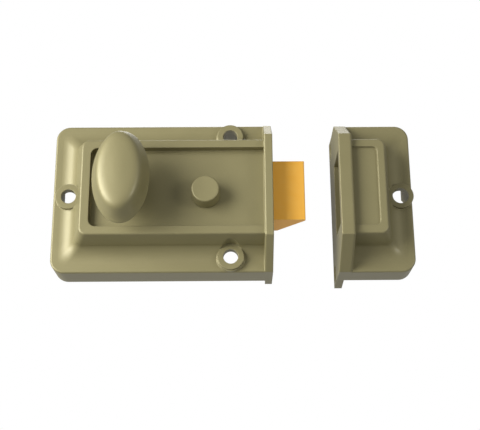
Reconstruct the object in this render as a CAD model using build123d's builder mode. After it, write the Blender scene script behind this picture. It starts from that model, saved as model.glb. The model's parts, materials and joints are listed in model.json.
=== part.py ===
"""Rim night latch with its keep, for an inward-opening door.

Millimetres. X runs from the knob to the keep, Z is up and the room is on the -Y side. The origin
lies on the knob's axis, in the plane of the door's face. A "depth" is a distance from that plane
towards the room.
"""
from build123d import *
from math import cos, radians, sin
import os

os.makedirs("parts", exist_ok=True)

# Case: overall size and walls
case_length = 93.0          # from the closed end to the outside of the forend
case_height = 66.0
backset = 61.5              # from the outside of the forend to the knob's axis
rim_depth = 14.0            # depth of the straight side walls
rim_wall = 2.5
end_corner_radius = 6.0
flare_width = 7.2           # hollow curve between the rim and the raised part
flare_rise = 5.5
wall_lean = 1.9             # how far the raised part's long walls lean in
end_inset = 13.65           # from the closed end to the end of the raised face
face_corner_radius = 3.0
face_border = 3.4           # raised border left round the sunk panel
end_border = 3.7
panel_sink = 3.5            # the sunk panel's depth below the raised face
panel_thickness = 1.8
raised_wall = 2.3
raised_side_room = 7.6      # from the bolt's edge to the raised face's edge
edge_radius = 0.8

# Forend: the plate at the door's edge that the bolt comes out of
forend_thickness = 3.6
forend_proud = 2.8          # how far it stands above the raised face
forend_nose = 22.0          # half height of its front edge
lip_thickness = 3.0
case_lip_reach = 5.5        # how far the lip reaches round the door's edge
forend_edge_radius = 0.7

# Screw holes through the case and keep
screw_hole_radius = 3.1
screw_boss_radius = 5.5
screw_boss_height = 2.4     # above the rim
screw_seat_thickness = 3.5
forend_collar_radius = 6.0  # low collar round each boss beside the forend
forend_collar_height = 1.1
screw_back_bore = 4.0       # wider bore behind the seat
screw_access_radius = 7.0   # opening in the cover behind each screw
screw_way_radius = 8.6      # opening in the mounting plate behind each screw
screw_edge_distance = 6.1   # from the case's long edges
screw_end_distance = 6.8    # from the case's closed end
forend_screw_distance = 17.6

# Latch bolt and its tail
bolt_height = 26.0
bolt_thickness = 14.5
bolt_back_depth = 7.8
bolt_throw = 13.5
bolt_guide_length = 9.0     # left inside the forend's outer face when it is out
bolt_flat_length = 2.2      # before the bevel starts
bolt_tip_thickness = 1.2
bolt_edge_radius = 0.5
tail_thickness = 3.0
tail_lap = 6.0              # how far the tail reaches into the bolt's back
rivet_radius = 1.75
rivet_depth = 8.0

# Knob, spindle and follower
knob_width = 22.9
knob_height = 38.9
knob_front_width = 15.1
knob_front_height = 30.1
knob_stem_radius = 6.0
knob_stem_length = 5.2
knob_back_length = 9.1
knob_band = 1.0
knob_shoulder = 10.0
knob_dome_radius = 80.0
knob_turn_angle = 60.0
spindle_radius = 4.5
spindle_square = 6.3
cross_pin_radius = 1.25
hub_radius = 7.0
journal_radius = 5.5
cam_tip_radius = 2.0
cam_half_width = 1.6
tailbar_slot_width = 2.6
tailbar_slot_height = 8.6

# Snib
snib_button_radius = 5.65
snib_button_draft = 0.35
snib_button_height = 7.2
snib_neck_radius = 2.5
snib_travel = 5.0
snib_slide_width = 8.0
snib_slide_thickness = 2.0
snib_pin_radius = 2.0

# Plates, springs and small hardware
mounting_plate_thickness = 1.5
cylinder_screw_spacing = 28.0
cylinder_slot_length = 12.0
cylinder_slot_width = 5.5
wood_screw_hole_radius = 2.3
wood_screw_edge_distance = 8.0
cover_thickness = 1.5
cover_screw_radius = 1.25
cover_head_radius = 2.75
cover_head_height = 1.6
bush_wall = 3.0
spring_wire_radius = 0.4
spring_mean_radius = 2.5
spring_turns = 11
spring_rod_radius = 1.4
leaf_thickness = 0.5

# Keep
keep_stand_off = 27.5       # gap between the forend and the keep as the set is laid out
keep_length = 32.3
keep_rim_depth = 13.0
keep_end_inset = 12.9
keep_lip_thickness = 3.2
keep_lip_reach = 10.5
keep_lip_overhang = 0.8     # how far the lip's ends stand out past the rim
keep_bar_width = 5.7
keep_bar_edge_radius = 1.2
keep_mouth_height = 32.0
keep_mouth_front = 26.5
keep_panel_sink = 1.0
keep_end_border = 3.1
keep_boss_height = 2.0      # above the keep's rim
keep_hole_radius = 3.4
keep_hole_end_distance = 5.1
lip_screw_radius = 2.2
lip_screw_head_radius = 4.0
lip_screw_edge_distance = 4.5

# Clearances
moving_gap = 0.3            # between parts that slide past each other
spindle_gap = 0.05          # radial, in bearings
plate_gap = 0.6             # between a loose plate and the wall round it
slot_gap = 0.4

# Derived places along the depth
rim_inside = rim_depth - rim_wall
bolt_front_depth = bolt_back_depth + bolt_thickness
panel_inside = bolt_front_depth + slot_gap
panel_front = panel_inside + panel_thickness
face_depth = panel_front + panel_sink
forend_depth = face_depth + forend_proud
cover_front = bolt_back_depth - moving_gap
cover_back = cover_front - cover_thickness
tail_back = bolt_back_depth + 0.2
tail_front = tail_back + tail_thickness
screw_seat_depth = rim_depth + screw_boss_height

# Derived places along X
case_end_x = backset - case_length
case_face_end_x = case_end_x + end_inset
panel_end_x = case_face_end_x + end_border
forend_inside_x = backset - forend_thickness
bolt_rear_x = backset - bolt_guide_length
bolt_tip_x = backset + bolt_throw
snib_x = bolt_rear_x - bolt_throw - 1.3 - snib_slide_width / 2
keep_x = backset + keep_stand_off
keep_end_x = keep_x + keep_length
keep_face_end_x = keep_end_x - keep_end_inset

# Derived half heights
case_half = case_height / 2
bolt_half = bolt_height / 2
face_half = bolt_half + raised_side_room
panel_half = face_half - face_border
cavity_half = face_half - raised_wall
tail_half = bolt_half - 2.0
rim_flat = case_half - face_half - wall_lean - flare_width

# Derived places of the screws
screw_z = case_half - screw_edge_distance
screw_x = backset - forend_screw_distance
case_screw_places = [
    (case_end_x + screw_end_distance, 0),
    (screw_x, screw_z),
    (screw_x, -screw_z),
]
keep_screw_place = (keep_end_x - keep_hole_end_distance, 0)
cover_post_radius = 3.2
cover_screw_places = [
    (case_end_x + 10.0, case_half - 9.0),
    (case_end_x + 10.0, 9.0 - case_half),
    (snib_x - 4.2, case_half - 7.0),
    (snib_x - 4.2, 7.0 - case_half),
]

# The cam's tip swings evenly either side of upright while the bolt moves through its throw
cam_half_angle = radians(knob_turn_angle / 2)
cam_reach = bolt_throw / (2 * sin(cam_half_angle))
cam_tip = (cam_reach * sin(cam_half_angle), cam_reach * cos(cam_half_angle))

# The spring lies above the tail, between a lug on the case and the back of the bolt
spring_z = tail_half - 1.5
spring_depth = tail_front + spring_mean_radius + spring_wire_radius + 1.1
spring_lug_x = snib_x - snib_slide_width / 2 - 6.2
spring_lug_thickness = 2.5

# The snib's pin waits below the tail and rises into one of its two notches
snib_rest_z = -snib_travel / 2
snib_pin_rest_z = -(tail_half + snib_pin_radius + 1.0)
snib_slide_front = panel_inside - moving_gap
snib_slide_back = snib_slide_front - snib_slide_thickness
notch_half_width = snib_pin_radius + moving_gap
notch_top_z = snib_pin_rest_z + snib_travel + snib_pin_radius + 2.3


def at_depth(depth):
    """Plane parallel to the door at a depth; its own Y axis is Z, and extrusions go to the room."""
    return Plane.XZ.offset(depth)


def block(x_limits, depth_limits, z_limits, mode=Mode.ADD):
    """Box between two values of X, two depths and two heights."""
    middle_x = sum(x_limits) / 2
    middle_depth = sum(depth_limits) / 2
    middle_z = sum(z_limits) / 2
    sizes = [abs(limits[1] - limits[0]) for limits in (x_limits, depth_limits, z_limits)]
    with Locations((middle_x, -middle_depth, middle_z)):
        Box(*sizes, mode=mode)


def post(place, depth_limits, radius, mode=Mode.ADD):
    """Round post or hole, square to the door, between two depths."""
    length = abs(depth_limits[1] - depth_limits[0])
    with Locations((place[0], -sum(depth_limits) / 2, place[1])):
        Cylinder(radius, length, rotation=(90, 0, 0), mode=mode)


def cross_rod(x_limits, depth, z, radius, mode=Mode.ADD):
    """Round rod or hole along X."""
    length = abs(x_limits[1] - x_limits[0])
    with Locations((sum(x_limits) / 2, -depth, z)):
        Cylinder(radius, length, rotation=(0, 90, 0), mode=mode)


def save(builder, name):
    """Label a finished piece and write it as its own STEP file."""
    builder.part.label = name
    export_step(builder.part, f"parts/{name}.step")


def rounded_end(edge_x, end_x, half_height, radius):
    """Outline square at the door's edge, with its two far corners rounded."""
    with BuildSketch() as outline:
        with Locations(((edge_x + end_x) / 2, 0)):
            Rectangle(abs(end_x - edge_x), 2 * half_height)
        far_corners = outline.vertices().group_by(Axis.X)[0 if end_x < edge_x else -1]
        fillet(far_corners, radius)
    return outline.sketch


def cover_casting(edge_x, end_x, face_end_x, rim):
    """Solid outer shape of the case or keep: straight rim, hollow flare and raised part."""
    away = 1 if end_x > edge_x else -1
    base_half = face_half + wall_lean
    base_end_x = face_end_x + away * (abs(end_x - face_end_x) - rim_flat - flare_width)
    with BuildPart() as casting:
        with BuildSketch(at_depth(0)):
            add(rounded_end(edge_x, end_x, case_half, end_corner_radius))
        extrude(amount=rim)
        rim_edges = casting.faces().sort_by(Axis.Y)[0].edges()
        outer_edges = [edge for edge in rim_edges if abs(edge.center().X - edge_x) > 0.1]
        fillet(outer_edges, edge_radius)
        steps = 6
        for step in range(steps + 1):
            angle = radians(90 * step / steps)
            inset = flare_width * (1 - sin(angle))
            with BuildSketch(at_depth(rim + flare_rise * (1 - cos(angle)))):
                add(rounded_end(edge_x, base_end_x + away * inset, base_half + inset,
                                face_corner_radius))
        loft()
        with BuildSketch(at_depth(rim + flare_rise)):
            add(rounded_end(edge_x, base_end_x, base_half, face_corner_radius))
        with BuildSketch(at_depth(face_depth)):
            add(rounded_end(edge_x, face_end_x, face_half, face_corner_radius))
        loft(ruled=True)
        face_edges = casting.faces().sort_by(Axis.Y)[0].edges()
        fillet([edge for edge in face_edges if abs(edge.center().X - edge_x) > 0.1], edge_radius)
    return casting.part


def edge_plate(outer_x, inner_x, nose_depth, rim, inner_radius):
    """Upright plate at the door's edge, with its front corners sloped off."""
    with BuildPart() as plate:
        with BuildSketch(Plane.YZ.offset(min(outer_x, inner_x))):
            with BuildLine():
                Polyline((0, -case_half), (0, case_half), (-rim, case_half),
                         (-nose_depth, forend_nose), (-nose_depth, -forend_nose),
                         (-rim, -case_half), close=True)
            make_face()
        extrude(amount=abs(inner_x - outer_x))
        front_edges = plate.edges().filter_by(Axis.X, reverse=True)
        sloped = [edge for edge in front_edges if edge.center().Y < -rim - 0.1]
        chamfer([edge for edge in sloped if abs(edge.center().X - outer_x) < 0.1], 0.2)
        fillet([edge for edge in sloped if abs(edge.center().X - inner_x) < 0.1], inner_radius)
    return plate.part


# ---- Case and everything fixed to it ----

case_casting = cover_casting(backset, case_end_x, case_face_end_x, rim_depth)
forend_plate = edge_plate(backset, forend_inside_x, forend_depth, rim_depth, forend_edge_radius)
case_panel = rounded_end(forend_inside_x, panel_end_x, panel_half, face_corner_radius)

with BuildPart() as case_body:
    add(case_casting)
    with BuildSketch(at_depth(face_depth)):
        add(case_panel)
    extrude(amount=-panel_sink, mode=Mode.SUBTRACT)
    add(forend_plate)
    # Lip that hooks round the door's edge
    block((backset - lip_thickness, backset), (-case_lip_reach, 0), (-case_half, case_half))
    # Inside, from the wide space behind the rim to the narrow one behind the sunk panel
    block((case_end_x + rim_wall, forend_inside_x), (0, rim_inside),
          (rim_wall - case_half, case_half - rim_wall), mode=Mode.SUBTRACT)
    inner_end_x = case_face_end_x + raised_wall
    block((inner_end_x, forend_inside_x), (rim_inside, panel_inside),
          (-cavity_half, cavity_half), mode=Mode.SUBTRACT)
    # Bolt mouth, and the guides that carry the bolt behind it
    mouth_half = bolt_half + moving_gap
    mouth_depths = (bolt_back_depth - moving_gap, bolt_front_depth + moving_gap)
    for side in (-1, 1):
        block((bolt_rear_x - 5.0, forend_inside_x), (cover_front, panel_inside),
              (side * mouth_half, side * cavity_half))
    block((forend_inside_x, backset), mouth_depths, (-mouth_half, mouth_half),
          mode=Mode.SUBTRACT)
    # Screw bosses with flat seats, open behind
    for place in case_screw_places:
        post(place, (screw_seat_depth, forend_depth), screw_boss_radius, mode=Mode.SUBTRACT)
        post(place, (rim_inside, screw_seat_depth), screw_boss_radius)
        if place[0] == screw_x:
            post(place, (rim_inside, rim_depth + forend_collar_height), forend_collar_radius)
        post(place, (0, screw_seat_depth - screw_seat_thickness), screw_back_bore,
             mode=Mode.SUBTRACT)
        post(place, (rim_inside, screw_seat_depth), screw_hole_radius, mode=Mode.SUBTRACT)
    # Posts for the cover's screws
    for place in cover_screw_places:
        post(place, (cover_front, rim_inside), cover_post_radius)
        post(place, (cover_front, rim_inside + 1.0), cover_screw_radius, mode=Mode.SUBTRACT)
    # Lug that the spring pushes against
    block((spring_lug_x - spring_lug_thickness, spring_lug_x),
          (tail_front + 0.6, panel_inside), (spring_z - 4.5, spring_z + 4.5))
    cross_rod((spring_lug_x - spring_lug_thickness, spring_lug_x), spring_depth, spring_z,
              spring_rod_radius + slot_gap, mode=Mode.SUBTRACT)
    # Hole for the knob's bush and slot for the snib's neck
    post((0, 0), (panel_inside, panel_front), spindle_radius + bush_wall, mode=Mode.SUBTRACT)
    with BuildSketch(at_depth(panel_inside)):
        with Locations((snib_x, 0)):
            SlotCenterToCenter(snib_travel, 2 * (snib_neck_radius + moving_gap), rotation=90)
    extrude(amount=panel_thickness, mode=Mode.SUBTRACT)
    # Blind hole for the detent spring's rivet
    detent_rivet_place = (snib_x - snib_slide_width / 2 - 3.4, 5.0)
    detent_rivet_radius = 1.2
    post(detent_rivet_place, (panel_inside, panel_inside + 1.0), detent_rivet_radius,
         mode=Mode.SUBTRACT)
save(case_body, "case_body")

with BuildPart() as mounting_plate:
    plate_left = case_end_x + rim_wall + plate_gap
    plate_right = forend_inside_x - plate_gap
    plate_half = case_half - rim_wall - plate_gap
    with BuildSketch(at_depth(0)):
        with Locations(((plate_left + plate_right) / 2, 0)):
            RectangleRounded(plate_right - plate_left, 2 * plate_half, 3.0)
        with Locations(*case_screw_places[1:]):
            Circle(screw_way_radius, mode=Mode.SUBTRACT)
        # Notch behind the end screw, clear of the long hole beside it
        notch_depth = case_screw_places[0][0] + screw_hole_radius + moving_gap - plate_left
        with Locations((plate_left, 0)):
            Rectangle(2 * notch_depth, 2 * screw_way_radius, mode=Mode.SUBTRACT)
        Circle(journal_radius + 1.5, mode=Mode.SUBTRACT)
        # Long holes for the outside cylinder's connecting screws
        with GridLocations(cylinder_screw_spacing, 0, 2, 1):
            SlotOverall(cylinder_slot_length, cylinder_slot_width, mode=Mode.SUBTRACT)
        # Wood screw holes
        with GridLocations(0, 2 * (plate_half - wood_screw_edge_distance), 1, 2):
            Circle(wood_screw_hole_radius, mode=Mode.SUBTRACT)
    extrude(amount=mounting_plate_thickness)
save(mounting_plate, "mounting_plate")

follower_bush_radius = journal_radius + spindle_gap + 2.0
cover_half = case_half - rim_wall - plate_gap
with BuildPart() as cover_plate:
    with BuildSketch(at_depth(cover_back)):
        left = case_end_x + rim_wall + plate_gap
        right = forend_inside_x - plate_gap
        with Locations(((left + right) / 2, 0)):
            RectangleRounded(right - left, 2 * cover_half, 2.5)
        with Locations(*case_screw_places):
            Circle(screw_access_radius, mode=Mode.SUBTRACT)
        Circle(follower_bush_radius, mode=Mode.SUBTRACT)
        with Locations(*cover_screw_places):
            Circle(cover_screw_radius + 0.15, mode=Mode.SUBTRACT)
    extrude(amount=cover_thickness)
save(cover_plate, "cover_plate")

with BuildPart() as cover_screws:
    for place in cover_screw_places:
        post(place, (cover_back, rim_inside + 0.6), cover_screw_radius)
        post(place, (cover_back - cover_head_height, cover_back), cover_head_radius)
        with Locations((place[0], -(cover_back - cover_head_height + 0.4), place[1])):
            Box(2 * cover_head_radius, 0.8, 0.8, mode=Mode.SUBTRACT)
save(cover_screws, "cover_screws")

with BuildPart() as follower_bush:
    post((0, 0), (cover_back - 0.8, cover_front), follower_bush_radius)
    post((0, 0), (cover_back - 0.8, cover_back), follower_bush_radius + 1.5)
    post((0, 0), (cover_back - 0.8, cover_front), journal_radius + spindle_gap,
         mode=Mode.SUBTRACT)
save(follower_bush, "follower_bush")

bush_flange_thickness = 1.1
with BuildPart() as knob_bush:
    post((0, 0), (panel_inside - bush_flange_thickness, panel_front), spindle_radius + bush_wall)
    post((0, 0), (panel_inside - bush_flange_thickness, panel_inside),
         spindle_radius + bush_wall + 1.5)
    post((0, 0), (panel_inside - bush_flange_thickness, panel_front),
         spindle_radius + spindle_gap, mode=Mode.SUBTRACT)
save(knob_bush, "knob_bush")

leaf_x = snib_x - snib_slide_width / 2 - 0.7 - leaf_thickness
bump_radius = 0.5
with BuildPart() as detent_spring:
    block((leaf_x, leaf_x + leaf_thickness), (snib_slide_back, panel_inside), (-8.0, 8.0))
    block((detent_rivet_place[0] - 2.2, leaf_x + leaf_thickness),
          (panel_inside - leaf_thickness, panel_inside), (2.0, 8.0))
    with Locations((leaf_x + leaf_thickness, -(snib_slide_back + panel_inside) / 2, 0)):
        Cylinder(bump_radius, panel_inside - snib_slide_back, rotation=(90, 0, 0))
    post(detent_rivet_place, (panel_inside - leaf_thickness, panel_inside), detent_rivet_radius,
         mode=Mode.SUBTRACT)
save(detent_spring, "detent_spring")

with BuildPart() as detent_rivet:
    post(detent_rivet_place, (panel_inside - leaf_thickness, panel_inside + 1.0),
         detent_rivet_radius)
    post(detent_rivet_place, (panel_inside - leaf_thickness - 0.8, panel_inside - leaf_thickness),
         detent_rivet_radius + 0.8)
save(detent_rivet, "detent_rivet")

# ---- Knob, spindle and follower ----

knob_back_depth = panel_front + moving_gap
knob_stem_front = knob_back_depth + knob_stem_length
knob_wide_depth = knob_stem_front + knob_back_length
knob_band_front = knob_wide_depth + knob_band
knob_front_depth = knob_band_front + knob_shoulder
cross_pin_depth = knob_back_depth + knob_stem_length / 2 + 0.6
cross_hole = (-knob_stem_radius - 1.0, knob_stem_radius + 1.0)
spindle_socket_depth = knob_wide_depth + 2.0
clip_thickness = 0.6
clip_back = panel_inside - bush_flange_thickness - moving_gap - clip_thickness
clip_groove_radius = spindle_radius - 0.7
hub_front = clip_back - moving_gap
socket_back = hub_front - 8.3
journal_back = cover_back - 1.5

with BuildPart() as turn_knob:
    post((0, 0), (knob_back_depth, knob_wide_depth), knob_stem_radius)
    # Rounded back, in bands that widen from the stem to the knob's full oval
    bands = [radians(15 + 75 * step / 5) for step in range(6)]
    for near, far in zip(bands, bands[1:]):
        for angle in (near, far):
            with BuildSketch(at_depth(knob_wide_depth - knob_back_length * cos(angle))):
                Ellipse(knob_stem_radius + (knob_width / 2 - knob_stem_radius) * sin(angle),
                        knob_stem_radius + (knob_height / 2 - knob_stem_radius) * sin(angle))
        loft(ruled=True)
    with BuildSketch(at_depth(knob_wide_depth)):
        Ellipse(knob_width / 2, knob_height / 2)
    extrude(amount=knob_band)
    with BuildSketch(at_depth(knob_band_front)):
        Ellipse(knob_width / 2, knob_height / 2)
    with BuildSketch(at_depth(knob_front_depth)):
        Ellipse(knob_front_width / 2, knob_front_height / 2)
    loft(ruled=True)
    with Locations((0, knob_dome_radius - knob_front_depth, 0)):
        Sphere(knob_dome_radius, mode=Mode.INTERSECT)
    fillet(turn_knob.faces().sort_by(Axis.Y)[0].edges(), 2.4)
    post((0, 0), (knob_back_depth, spindle_socket_depth), spindle_radius, mode=Mode.SUBTRACT)
    cross_rod(cross_hole, cross_pin_depth, 0, cross_pin_radius, mode=Mode.SUBTRACT)
save(turn_knob, "turn_knob")

with BuildPart() as knob_spindle:
    post((0, 0), (clip_back - 0.2, spindle_socket_depth), spindle_radius)
    block((-spindle_square / 2, spindle_square / 2), (socket_back, clip_back - 0.2),
          (-spindle_square / 2, spindle_square / 2))
    with BuildSketch(at_depth(clip_back)):
        Circle(spindle_radius + 1.0)
        Circle(clip_groove_radius, mode=Mode.SUBTRACT)
    extrude(amount=clip_thickness, mode=Mode.SUBTRACT)
    cross_rod(cross_hole, cross_pin_depth, 0, cross_pin_radius, mode=Mode.SUBTRACT)
save(knob_spindle, "knob_spindle")

with BuildPart() as knob_pin:
    cross_rod((0.4 - knob_stem_radius, knob_stem_radius - 0.4), cross_pin_depth, 0,
              cross_pin_radius)
save(knob_pin, "knob_pin")

with BuildPart() as spindle_clip:
    with BuildSketch(at_depth(clip_back)):
        Circle(spindle_radius + 2.0)
        Circle(clip_groove_radius, mode=Mode.SUBTRACT)
        with Locations((0, -spindle_radius)):
            Rectangle(2 * clip_groove_radius * 0.8, 2 * spindle_radius, mode=Mode.SUBTRACT)
    extrude(amount=clip_thickness)
save(spindle_clip, "spindle_clip")

with BuildPart() as follower:
    post((0, 0), (cover_front + moving_gap, hub_front), hub_radius)
    post((0, 0), (journal_back, cover_front + moving_gap), journal_radius)
    # Cam arm, in the same layer as the tail
    with BuildSketch(at_depth(tail_back)):
        with BuildLine():
            along = (sin(cam_half_angle), cos(cam_half_angle))
            aside = (cos(cam_half_angle) * cam_half_width, -sin(cam_half_angle) * cam_half_width)
            root = (2 * along[0], 2 * along[1])
            Polyline((root[0] + aside[0], root[1] + aside[1]),
                     (cam_tip[0] + aside[0], cam_tip[1] + aside[1]),
                     (cam_tip[0] - aside[0], cam_tip[1] - aside[1]),
                     (root[0] - aside[0], root[1] - aside[1]), close=True)
        make_face()
        with Locations(cam_tip):
            Circle(cam_tip_radius)
    extrude(amount=tail_thickness)
    block((-spindle_square / 2, spindle_square / 2), (socket_back, hub_front),
          (-spindle_square / 2, spindle_square / 2), mode=Mode.SUBTRACT)
    # Slot that the outside cylinder's tailbar turns
    block((-tailbar_slot_width / 2, tailbar_slot_width / 2), (journal_back, socket_back - 1.0),
          (-tailbar_slot_height / 2, tailbar_slot_height / 2), mode=Mode.SUBTRACT)
save(follower, "follower")

# ---- Latch bolt, tail and spring ----

rivet_z = spring_z - spring_rod_radius - rivet_radius - 1.5
rivet_places = [(bolt_rear_x + tail_lap / 2, rivet_z),
                (bolt_rear_x + tail_lap / 2, -rivet_z)]
rod_socket_depth = 4.0

with BuildPart() as latch_bolt:
    with BuildSketch(Plane.XY.offset(-bolt_half)):
        with BuildLine():
            Polyline((bolt_rear_x, -bolt_back_depth), (bolt_rear_x, -bolt_front_depth),
                     (bolt_tip_x, -bolt_front_depth),
                     (bolt_tip_x, bolt_tip_thickness - bolt_front_depth),
                     (backset + bolt_flat_length, -bolt_back_depth), close=True)
        make_face()
    extrude(amount=bolt_height)
    outer_edges = latch_bolt.edges().filter_by_position(Axis.X, backset, bolt_tip_x + 1)
    fillet(outer_edges.filter_by(Axis.Z), bolt_edge_radius)
    block((bolt_rear_x, bolt_rear_x + tail_lap + 0.3), (bolt_back_depth, tail_front),
          (-tail_half - 0.3, tail_half + 0.3), mode=Mode.SUBTRACT)
    cross_rod((bolt_rear_x, bolt_rear_x + rod_socket_depth), spring_depth, spring_z,
              spring_rod_radius, mode=Mode.SUBTRACT)
    for place in rivet_places:
        post(place, (tail_front, tail_front + rivet_depth - tail_thickness), rivet_radius,
             mode=Mode.SUBTRACT)
save(latch_bolt, "latch_bolt")

with BuildPart() as bolt_tail:
    fork_end_x = hub_radius + 0.6 + bolt_throw
    fork_half = hub_radius + 0.6
    tip_half_width = cam_tip_radius + moving_gap
    lug_top = cam_reach + cam_tip_radius + 3.0
    # Half width that the leaning cam arm needs where it crosses the fork's edge
    arm_way_half = (cam_tip[0] - fork_half * sin(cam_half_angle) / cos(cam_half_angle)
                    + cam_half_width / cos(cam_half_angle) + 2 * moving_gap)
    with BuildSketch(at_depth(tail_back)):
        with Locations(((bolt_rear_x + tail_lap - 6.0) / 2, 0)):
            Rectangle(bolt_rear_x + tail_lap + 6.0, 2 * tail_half)
        with Locations((cam_tip[0], lug_top / 2 + 2.0)):
            Rectangle(2 * arm_way_half + 7.0, lug_top - 4.0)
        # Room for the follower's hub along the whole throw, open at the end
        with Locations(((fork_end_x - 10.0) / 2, 0)):
            Rectangle(fork_end_x + 10.0, 2 * fork_half, mode=Mode.SUBTRACT)
        # Tapered way for the cam arm, and the slot that its tip works in
        with BuildLine():
            Polyline((cam_tip[0] - arm_way_half, fork_half - 0.1),
                     (cam_tip[0] + arm_way_half, fork_half - 0.1),
                     (cam_tip[0] + tip_half_width, cam_tip[1]),
                     (cam_tip[0] - tip_half_width, cam_tip[1]), close=True)
        make_face(mode=Mode.SUBTRACT)
        slot_top = cam_reach + cam_tip_radius + 0.8
        with Locations((cam_tip[0], (cam_tip[1] - 0.5 + slot_top) / 2)):
            Rectangle(2 * tip_half_width, slot_top - cam_tip[1] + 0.5, mode=Mode.SUBTRACT)
        # Notches for the snib's pin: bolt held out, and bolt held back
        for notch_x in (snib_x, snib_x + bolt_throw):
            with Locations((notch_x, (notch_top_z - tail_half - 1.0) / 2)):
                Rectangle(2 * notch_half_width, notch_top_z + tail_half + 1.0,
                          mode=Mode.SUBTRACT)
        with Locations(*rivet_places):
            Circle(rivet_radius, mode=Mode.SUBTRACT)
    extrude(amount=tail_thickness)
save(bolt_tail, "bolt_tail")

with BuildPart() as tail_rivets:
    for place in rivet_places:
        post(place, (tail_back, tail_back + rivet_depth), rivet_radius)
save(tail_rivets, "tail_rivets")

with BuildPart() as spring_rod:
    cross_rod((spring_lug_x - spring_lug_thickness - 2.0, bolt_rear_x + rod_socket_depth),
              spring_depth, spring_z, spring_rod_radius)
save(spring_rod, "spring_rod")

with BuildPart() as bolt_spring:
    spring_start_x = spring_lug_x + spring_wire_radius + 0.05
    spring_length = bolt_rear_x - spring_wire_radius - 0.05 - spring_start_x
    with BuildLine() as coil:
        Helix(spring_length / spring_turns, spring_length, spring_mean_radius,
              center=(spring_start_x, -spring_depth, spring_z), direction=(1, 0, 0))
    with BuildSketch(Plane(origin=coil.line @ 0, z_dir=coil.line % 0)):
        Circle(spring_wire_radius)
    sweep(is_frenet=True)
save(bolt_spring, "bolt_spring")

# ---- Snib ----

with BuildPart() as snib_button:
    post((snib_x, snib_rest_z), (snib_slide_back, panel_front + moving_gap), snib_neck_radius)
    button_back = panel_front + moving_gap
    with BuildSketch(at_depth(button_back)):
        with Locations((snib_x, snib_rest_z)):
            Circle(snib_button_radius + snib_button_draft)
    with BuildSketch(at_depth(button_back + snib_button_height)):
        with Locations((snib_x, snib_rest_z)):
            Circle(snib_button_radius)
    loft(ruled=True)
    fillet(snib_button.faces().sort_by(Axis.Y)[0].edges(), 0.6)
save(snib_button, "snib_button")

snib_slide_bottom = snib_pin_rest_z - snib_pin_radius - 1.2
with BuildPart() as snib_slide:
    block((snib_x - snib_slide_width / 2, snib_x + snib_slide_width / 2),
          (snib_slide_back, snib_slide_front), (snib_slide_bottom, 9.0))
    post((snib_x, snib_rest_z), (snib_slide_back, snib_slide_front), snib_neck_radius,
         mode=Mode.SUBTRACT)
    # Dimples that the detent spring's bump drops into at each end of the travel
    for dimple_z in (0, -snib_travel):
        post((snib_x - snib_slide_width / 2, dimple_z), (snib_slide_back, snib_slide_front),
             bump_radius + moving_gap, mode=Mode.SUBTRACT)
save(snib_slide, "snib_slide")

with BuildPart() as snib_pin:
    post((snib_x, snib_pin_rest_z), (cover_front + moving_gap, snib_slide_back), snib_pin_radius)
save(snib_pin, "snib_pin")

# ---- Keep ----

keep_casting = cover_casting(keep_x, keep_end_x, keep_face_end_x, keep_rim_depth)
keep_bar = edge_plate(keep_x, keep_x + keep_bar_width, forend_depth, keep_rim_depth,
                      keep_bar_edge_radius)
keep_panel_end_x = keep_face_end_x - keep_end_border
keep_panel = rounded_end(keep_x + keep_bar_width, keep_panel_end_x, panel_half, 2.0)
keep_ceiling = face_depth - keep_panel_sink - panel_thickness

with BuildPart() as keep_body:
    add(keep_casting)
    with BuildSketch(at_depth(face_depth)):
        add(keep_panel)
    extrude(amount=-keep_panel_sink, mode=Mode.SUBTRACT)
    add(keep_bar)
    # Lip for the frame's edge, a little longer at its back than the rim
    with BuildSketch(Plane.YZ.offset(keep_x)):
        with BuildLine():
            lip_half = case_half + keep_lip_overhang
            Polyline((0, -case_half), (0, case_half), (keep_lip_reach, lip_half),
                     (keep_lip_reach, -lip_half), close=True)
        make_face()
    extrude(amount=keep_lip_thickness)
    # Inside: the wide space behind the rim, and the deep pocket that takes the bolt
    keep_rim_inside = keep_rim_depth - rim_wall
    block((keep_x + keep_lip_thickness, keep_end_x - rim_wall), (0, keep_rim_inside),
          (rim_wall - case_half, case_half - rim_wall), mode=Mode.SUBTRACT)
    mouth_limits = (-keep_mouth_height / 2, keep_mouth_height / 2)
    block((keep_x, keep_x + keep_bar_width), (bolt_back_depth + 0.4, keep_mouth_front),
          mouth_limits, mode=Mode.SUBTRACT)
    block((keep_x + keep_lip_thickness, keep_face_end_x - raised_wall),
          (keep_rim_inside, keep_ceiling), mouth_limits, mode=Mode.SUBTRACT)
    # Screw boss at the far end
    post(keep_screw_place, (keep_rim_depth + keep_boss_height, forend_depth), screw_boss_radius,
         mode=Mode.SUBTRACT)
    post(keep_screw_place, (keep_rim_inside, keep_rim_depth + keep_boss_height), screw_boss_radius)
    post(keep_screw_place, (0, keep_rim_depth + keep_boss_height - screw_seat_thickness),
         screw_back_bore, mode=Mode.SUBTRACT)
    post(keep_screw_place, (keep_rim_inside, keep_rim_depth + keep_boss_height), keep_hole_radius,
         mode=Mode.SUBTRACT)
    # Countersunk screw holes through the lip, into the frame's edge
    for side in (-1, 1):
        lip_screw_z = side * (case_half - lip_screw_edge_distance)
        cross_rod((keep_x, keep_x + keep_lip_thickness), -keep_lip_reach / 2, lip_screw_z,
                  lip_screw_radius, mode=Mode.SUBTRACT)
        sink = lip_screw_head_radius - lip_screw_radius
        with Locations((keep_x + sink / 2, keep_lip_reach / 2, lip_screw_z)):
            Cone(lip_screw_head_radius, lip_screw_radius, sink, rotation=(0, 90, 0),
                 mode=Mode.SUBTRACT)
save(keep_body, "keep_body")
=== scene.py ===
"""Rim night latch with its keep: the finishes, the finely shaped knob, the light and the camera."""
import json
from math import radians

import bmesh
import bpy
from mathutils import Matrix, Vector


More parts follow.
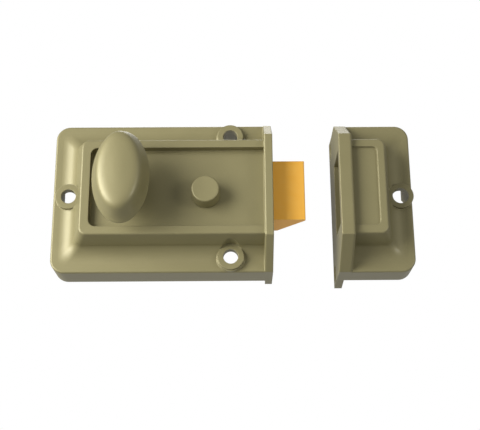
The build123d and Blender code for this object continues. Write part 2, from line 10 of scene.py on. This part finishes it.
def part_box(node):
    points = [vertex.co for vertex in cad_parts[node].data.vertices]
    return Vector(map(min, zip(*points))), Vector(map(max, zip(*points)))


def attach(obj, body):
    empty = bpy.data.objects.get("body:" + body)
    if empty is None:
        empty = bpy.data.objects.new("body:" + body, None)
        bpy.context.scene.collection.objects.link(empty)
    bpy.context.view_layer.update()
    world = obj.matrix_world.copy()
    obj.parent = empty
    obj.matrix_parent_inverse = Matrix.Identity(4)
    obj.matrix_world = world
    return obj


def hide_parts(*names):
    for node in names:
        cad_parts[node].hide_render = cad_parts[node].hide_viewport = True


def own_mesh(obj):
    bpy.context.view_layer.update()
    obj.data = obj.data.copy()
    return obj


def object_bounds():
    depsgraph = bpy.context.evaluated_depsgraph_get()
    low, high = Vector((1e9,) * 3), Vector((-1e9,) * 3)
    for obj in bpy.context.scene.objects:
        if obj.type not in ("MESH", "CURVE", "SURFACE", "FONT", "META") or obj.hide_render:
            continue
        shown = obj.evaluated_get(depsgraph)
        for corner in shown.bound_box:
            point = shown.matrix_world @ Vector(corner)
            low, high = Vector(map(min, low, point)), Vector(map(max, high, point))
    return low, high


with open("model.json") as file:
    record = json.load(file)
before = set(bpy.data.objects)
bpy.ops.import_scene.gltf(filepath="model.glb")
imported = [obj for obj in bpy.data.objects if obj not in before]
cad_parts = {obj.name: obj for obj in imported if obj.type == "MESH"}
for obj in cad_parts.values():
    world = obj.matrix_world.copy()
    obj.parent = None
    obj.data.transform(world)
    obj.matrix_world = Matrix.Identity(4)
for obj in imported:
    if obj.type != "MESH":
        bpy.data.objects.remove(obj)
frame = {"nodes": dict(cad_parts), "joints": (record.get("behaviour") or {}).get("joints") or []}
cad_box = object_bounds()
nodes = frame["nodes"]
scene = bpy.context.scene


# ---- Camera ----
# The set is seen square on from a little below the latch, as a fitter looks up at it
# from about arm's length.
camera_data = bpy.data.cameras.new("camera")
camera_data.sensor_width = 36.0
camera_data.lens = 75.0
camera_data.clip_start = 0.01
camera = bpy.data.objects.new("camera", camera_data)
camera.location = (0.0469, -0.4142, -0.1446)
camera_tilt = radians(18.85)
camera_pan = radians(0.14)
camera_roll = radians(-0.39)
camera.rotation_euler = (Matrix.Rotation(-camera_pan, 4, "Z")
                         @ Matrix.Rotation(radians(90) + camera_tilt, 4, "X")
                         @ Matrix.Rotation(camera_roll, 4, "Z")).to_euler()
scene.collection.objects.link(camera)
scene.camera = camera


# ---- Lacquered casting finish ----
# The case, keep, knob and snib button are zinc castings, polished and sprayed with a
# champagne metallic lacquer that lies thinner along every edge. The paler colour along the
# edges is partly that thinner lacquer and partly a painted highlight.
class Wire:
    """A socket in a material; arithmetic on it adds Math nodes and node() adds any other."""

    def __init__(self, tree, socket=None):
        self.tree = tree
        self.socket = socket

    def node(self, kind, settings=None, inputs=None, output=0):
        made = self.tree.nodes.new("ShaderNode" + kind)
        for name, value in (settings or {}).items():
            setattr(made, name, value)
        for name, value in (inputs or {}).items():
            if isinstance(value, Wire):
                self.tree.links.new(value.socket, made.inputs[name])
            else:
                made.inputs[name].default_value = value
        return Wire(self.tree, made.outputs[output])

    def maths(self, operation, *operands):
        return self.node("Math", {"operation": operation}, dict(enumerate(operands)))

    def __add__(self, other):
        return self.maths("ADD", self, other)

    __radd__ = __add__

    def __sub__(self, other):
        return self.maths("SUBTRACT", self, other)

    def __rsub__(self, other):
        return self.maths("SUBTRACT", other, self)

    def __mul__(self, other):
        return self.maths("MULTIPLY", self, other)

    __rmul__ = __mul__

    def clamped(self):
        return self.node("Clamp", None, {"Value": self})

    def mix(self, low, high):
        """Colour between low and high, where this value is the share of high."""
        return self.node("Mix", {"data_type": "RGBA"}, {0: self, 6: low, 7: high}, 2)


def new_material(name):
    """An empty material with its shader; returns the material, its shader and a blank wire."""
    material = bpy.data.materials.new(name)
    material.use_nodes = True
    tree = material.node_tree
    return material, tree.nodes["Principled BSDF"], Wire(tree)


def feed(shader, wire, socket_name):
    wire.tree.links.new(wire.socket, shader.inputs[socket_name])


def rgb(red, green, blue):
    return (red, green, blue, 1.0)


def rounded_normal(blank, radius):
    """The surface's normal with its edges softened to a radius."""
    return blank.node("Bevel", {"samples": 6}, {"Radius": radius})


def edge_mask(blank, radius):
    """1 on edges within a radius, fading to 0 on the flats."""
    on_flat = 0.995
    on_edge = 0.90
    plain = blank.node("NewGeometry", output=1)
    agreement = blank.node("VectorMath", {"operation": "DOT_PRODUCT"},
                           {0: rounded_normal(blank, radius), 1: plain}, output=1)
    return blank.node("MapRange", {"clamp": True},
                      {"Value": agreement, "From Min": on_flat, "From Max": on_edge,
                       "To Min": 0.0, "To Max": 1.0})


def finish_nodes(material, *names):
    """Give CAD pieces a finish in place of the plain one that they came with."""
    for name in names:
        nodes[name].data.materials.clear()
        nodes[name].data.materials.append(material)


def lacquer(name, painted_light_tone):
    """Champagne metallic lacquer, in lighter and darker copies from piece to piece: painted shade
    on the keep, painted light on the knob and snib button.
    """
    material, shader, blank = new_material(name)
    place = blank.node("TexCoord", output=3)
    flakes = blank.node("TexNoise", None, {"Vector": place, "Scale": 5200.0, "Detail": 1.0})
    clouds = blank.node("TexNoise", None, {"Vector": place, "Scale": 90.0, "Detail": 3.0})
    peel = blank.node("TexNoise", None, {"Vector": place, "Scale": 900.0, "Detail": 2.0})
    body = rgb(0.205 * painted_light_tone, 0.181 * painted_light_tone, 0.080 * painted_light_tone)
    bright = rgb(0.262 * painted_light_tone, 0.233 * painted_light_tone, 0.113 * painted_light_tone)
    # Paler along the edges: partly thinner lacquer, partly a painted highlight.
    thin_lacquer_and_highlight = rgb(0.46, 0.42, 0.28)
    speckled = (flakes * 0.7 + clouds * 0.3).mix(body, bright)
    edges = edge_mask(blank, 0.0005)
    feed(shader, (edges * 0.15).mix(speckled, thin_lacquer_and_highlight), "Base Color")
    feed(shader, 0.47 + clouds * 0.08 - edges * 0.06, "Roughness")
    shader.inputs["Metallic"].default_value = 0.30
    shader.inputs["Coat Weight"].default_value = 0.18
    shader.inputs["Coat Roughness"].default_value = 0.22
    bumpy = blank.node("Bump", None, {"Strength": 0.05, "Distance": 0.0001,
                                      "Height": peel + flakes * 0.5,
                                      "Normal": rounded_normal(blank, 0.0004)})
    feed(shader, bumpy, "Normal")
    return material


# Lighter and darker copies of one lacquer: painted shade on the keep, painted light on the snib
# button.
for node_name, painted_light_tone in (("case_body", 1.0), ("keep_body", 0.90), ("snib_button", 1.10)):
    finish_nodes(lacquer(node_name + "_lacquer", painted_light_tone), node_name)


# ---- Turn knob ----
# One oval zinc casting that narrows behind to a round stem, with a fine rim where the two
# halves of its die met and a gently domed front for the fingers.
def oval_ring(mesh, edges, depth, half_width, half_height, before):
    """Extrude a loop of edges to a new oval at a depth; returns the new loop."""
    grown = bmesh.ops.extrude_edge_only(mesh, edges=edges)["geom"]
    verts = [part for part in grown if isinstance(part, bmesh.types.BMVert)]
    old_depth, old_width, old_height = before
    bmesh.ops.scale(mesh, verts=verts,
                    vec=(half_width / old_width, 1.0, half_height / old_height))
    bmesh.ops.translate(mesh, verts=verts, vec=(0, old_depth - depth, 0))
    return [part for part in grown if isinstance(part, bmesh.types.BMEdge)]


knob_low, knob_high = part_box("turn_knob")
knob_back = -knob_high.y
knob_front = -knob_low.y
knob_half_width = knob_high.x * 1.02
knob_half_height = knob_high.z * 1.015
knob_stem = 0.006
knob_dome = 0.0105
knob_rim = knob_front - knob_dome
knob_profile = [
    (knob_back, knob_stem, knob_stem),
    (knob_back + 0.0008, knob_stem, knob_stem),
    (knob_back + 0.0036, knob_stem * 1.02, knob_stem * 1.05),
    (knob_back + 0.0055, knob_half_width * 0.70, knob_half_height * 0.50),
    (knob_rim - 0.0040, knob_half_width * 0.90, knob_half_height * 0.84),
    (knob_rim - 0.0010, knob_half_width * 0.975, knob_half_height * 0.975),
    (knob_rim - 0.0006, knob_half_width * 0.992, knob_half_height * 0.995),
    (knob_rim, knob_half_width, knob_half_height),
    (knob_rim + 0.0006, knob_half_width * 0.985, knob_half_height * 0.99),
    (knob_rim + 0.0011, knob_half_width * 0.945, knob_half_height * 0.965),
    (knob_rim + 0.0035, knob_half_width * 0.885, knob_half_height * 0.915),
    (knob_rim + 0.0070, knob_half_width * 0.810, knob_half_height * 0.860),
    (knob_rim + 0.0086, knob_half_width * 0.745, knob_half_height * 0.810),
    (knob_rim + 0.0095, knob_half_width * 0.640, knob_half_height * 0.725),
    (knob_rim + 0.0100, knob_half_width * 0.490, knob_half_height * 0.570),
    (knob_rim + 0.0103, knob_half_width * 0.280, knob_half_height * 0.340),
    (knob_front, knob_half_width * 0.12, knob_half_height * 0.16),
]
knob_mesh = bmesh.new()
bmesh.ops.create_circle(knob_mesh, segments=64, radius=knob_profile[0][1])
bmesh.ops.rotate(knob_mesh, verts=knob_mesh.verts, matrix=Matrix.Rotation(radians(90), 3, "X"))
bmesh.ops.translate(knob_mesh, verts=knob_mesh.verts, vec=(0, -knob_profile[0][0], 0))
knob_first = list(knob_mesh.edges)
knob_loop = knob_first
for before, (depth, half_width, half_height) in zip(knob_profile, knob_profile[1:]):
    knob_loop = oval_ring(knob_mesh, knob_loop, depth, half_width, half_height, before)
bmesh.ops.contextual_create(knob_mesh, geom=knob_loop)
bmesh.ops.contextual_create(knob_mesh, geom=knob_first)
bmesh.ops.recalc_face_normals(knob_mesh, faces=knob_mesh.faces)
knob_data = bpy.data.meshes.new("knob_casting")
knob_mesh.to_mesh(knob_data)
knob_mesh.free()
knob_data.shade_smooth()
knob_casting = bpy.data.objects.new("knob_casting", knob_data)
scene.collection.objects.link(knob_casting)
knob_smooth = knob_casting.modifiers.new("smooth", "SUBSURF")
knob_smooth.levels = 2
knob_smooth.render_levels = 2
# A lighter copy of the lacquer: painted light on the knob.
knob_data.materials.append(lacquer("knob_lacquer", 1.06))
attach(knob_casting, "knob")
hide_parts("turn_knob")


# ---- Latch bolt ----
# A solid brass casting, machined on its four sides and along its bevel, so that fine
# tool marks run along its length, and paler along its edges, partly rubbed bright by wear
# and partly a painted highlight.
def machined(name, low, high, grain, roughness, metallic=1.0):
    """Bare machined metal; grain stretches its tool marks along one of the axes."""
    material, shader, blank = new_material(name)
    place = blank.node("TexCoord", output=3)
    lengthwise = blank.node("Mapping", None, {"Vector": place, "Scale": grain})
    lines = blank.node("TexNoise", None, {"Vector": lengthwise, "Scale": 1.0, "Detail": 3.0})
    stains = blank.node("TexNoise", None, {"Vector": place, "Scale": 260.0, "Detail": 3.0})
    edges = edge_mask(blank, 0.0004)
    # Paler along the edges: partly rubbed wear, partly a painted highlight. The stains and tool
    # marks are the metal's own.
    wear_and_painted_highlight = (edges * 0.6 + stains * 0.25 + lines * 0.25).clamped()
    feed(shader, wear_and_painted_highlight.mix(low, high), "Base Color")
    feed(shader, roughness + stains * 0.10 + lines * 0.08 - edges * 0.08, "Roughness")
    shader.inputs["Metallic"].default_value = metallic
    shader.inputs["Specular IOR Level"].default_value = 0.15
    bumpy = blank.node("Bump", None, {"Strength": 0.12, "Distance": 0.00004,
                                      "Height": lines,
                                      "Normal": rounded_normal(blank, 0.0003)})
    feed(shader, bumpy, "Normal")
    return material


bolt_brass = machined("bolt_brass", rgb(0.98, 0.47, 0.050), rgb(1.0, 0.67, 0.19),
                      (300.0, 9000.0, 9000.0), 0.34, metallic=0.45)
finish_nodes(bolt_brass, "latch_bolt")


# ---- Bushes and spindle ----
# Turned from drawn brass bar and left bare, with a fine even grain. The bushes are held
# in the case and cover by riveting their rims.
bush_brass = machined("bush_brass", rgb(0.46, 0.31, 0.10), rgb(0.72, 0.55, 0.24),
                      (2500.0, 2500.0, 2500.0), 0.30)
finish_nodes(bush_brass, "knob_bush", "follower_bush", "knob_spindle")


# ---- Plates, follower, tail and snib slide ----
# Pressed from mild steel strip, except for the follower, which is a thicker blank, and
# all bright zinc plated, with a faint cloudy bloom.
plated_steel = machined("plated_steel", rgb(0.36, 0.37, 0.38), rgb(0.66, 0.66, 0.64),
                        (700.0, 700.0, 5000.0), 0.30)
finish_nodes(plated_steel, "mounting_plate", "cover_plate", "follower", "bolt_tail", "snib_slide")


# ---- Screws, rivets, pins and the spring's guide rod ----
# Turned or headed from bright drawn steel wire and left bare. The cover's screws have
# plain slots.
screw_steel = machined("screw_steel", rgb(0.30, 0.30, 0.31), rgb(0.58, 0.58, 0.57),
                       (6000.0, 6000.0, 6000.0), 0.26)
finish_nodes(screw_steel, "cover_screws", "detent_rivet", "knob_pin", "tail_rivets",
             "spring_rod", "snib_pin")


# ---- Springs and spindle clip ----
# Hard drawn wire for the coil, tempered strip for the detent and the clip, and all left
# dark with oil from hardening.
spring_steel = machined("spring_steel", rgb(0.12, 0.12, 0.13), rgb(0.34, 0.34, 0.35),
                        (3000.0, 3000.0, 3000.0), 0.28)
finish_nodes(spring_steel, "bolt_spring", "detent_spring", "spindle_clip")


# ---- Bolt spring ----
# A coil round the guide rod. It pushes the bolt out from the case's lug. Here it is a
# copy of the part's coil, carried with the bolt.
spring_low, spring_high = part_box("bolt_spring")
bolt_joint = next(joint for joint in frame["joints"] if joint["name"] == "bolt_slide")
bolt_travel = max(abs(limit) for limit in bolt_joint["range_m"])
spring_data = nodes["bolt_spring"].data.copy()
spring_coil = bpy.data.objects.new("spring_coil", spring_data)
scene.collection.objects.link(spring_coil)
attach(spring_coil, "bolt")
1 - bolt_travel / (spring_high.x - spring_low.x)
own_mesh(spring_coil)
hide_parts("bolt_spring")


# ---- Floor ----
# A plain pale sheet well below the set, fading out at its edges. It shows from above only,
# so that the view from below meets the open white surroundings.
floor_half_side = 1.5
floor_drop = 0.66
fade_start = 0.70
fade_end = 1.40
floor_mesh = bmesh.new()
bmesh.ops.create_grid(floor_mesh, x_segments=1, y_segments=1, size=floor_half_side)
bmesh.ops.translate(floor_mesh, verts=floor_mesh.verts,
                    vec=(0.04, 0, cad_box[0][2] - floor_drop))
floor_data = bpy.data.meshes.new("floor")
floor_mesh.to_mesh(floor_data)
floor_mesh.free()
floor = bpy.data.objects.new("floor", floor_data)
scene.collection.objects.link(floor)
floor_material, floor_shader, floor_blank = new_material("floor_sheet")
floor_shader.inputs["Base Color"].default_value = rgb(0.80, 0.80, 0.79)
floor_shader.inputs["Roughness"].default_value = 0.7
under_side = floor_blank.node("NewGeometry", output=6)
floor_place = floor_blank.node("TexCoord", output=3)
across = floor_blank.node("VectorMath", {"operation": "MULTIPLY"},
                          {0: floor_place, 1: (1.0, 1.0, 0.0)})
from_middle = floor_blank.node("VectorMath", {"operation": "LENGTH"}, {0: across}, output=1)
faded = floor_blank.node("MapRange", {"clamp": True, "interpolation_type": "SMOOTHSTEP"},
                         {"Value": from_middle, "From Min": fade_start, "From Max": fade_end,
                          "To Min": 0.0, "To Max": 1.0})
unseen = under_side.maths("MAXIMUM", under_side, faded)
clear = floor_blank.node("BsdfTransparent")
one_sided = floor_blank.node("MixShader", None,
                             {0: unseen, 1: Wire(floor_blank.tree, floor_shader.outputs[0]),
                              2: clear})
floor_output = floor_blank.tree.nodes["Material Output"]
floor_blank.tree.links.new(one_sided.socket, floor_output.inputs["Surface"])
floor_data.materials.append(floor_material)


# ---- Surroundings and lamps ----
# White surroundings that the camera sees as plain white and that light the set most from
# behind and below, with one broad lamp at the left and two weak ones, right and overhead.
world = bpy.data.worlds.new("surroundings")
world.use_nodes = True
scene.world = world
sky = Wire(world.node_tree)
direction = sky.node("TexCoord", output=0)
height = sky.node("SeparateXYZ", None, {0: direction}, 2)
backward = sky.node("SeparateXYZ", None, {0: direction}, 1)
glow = sky.node("MapRange", {"clamp": True}, {"Value": backward - height, "From Min": 0.6,
                                              "From Max": 1.25, "To Min": 0.34, "To Max": 0.74})
seen = sky.node("LightPath", output=0)
strength = seen * (1.0 - glow) + glow
background = world.node_tree.nodes["Background"]
world.node_tree.links.new(strength.socket, background.inputs["Strength"])
background.inputs["Color"].default_value = rgb(1.0, 1.0, 1.0)


def lamp(name, place, target, size, power):
    """A square soft lamp aimed at a point."""
    data = bpy.data.lights.new(name, "AREA")
    data.size = size
    data.energy = power
    data.spread = radians(80)
    made = bpy.data.objects.new(name, data)
    made.location = place
    made.rotation_euler = (Vector(target) - Vector(place)).to_track_quat("-Z", "Y").to_euler()
    scene.collection.objects.link(made)


centre = (0.04, -0.02, 0.0)
lamp("side_lamp", (-0.62, -0.50, 0.06), centre, 0.70, 3.95)
lamp("fill_lamp", (0.62, -0.50, -0.05), centre, 0.22, 0.25)
lamp("top_lamp", (0.06, 0.28, 0.55), centre, 0.30, 0.25)
scene.view_settings.view_transform = "Standard"
scene.view_settings.look = "None"
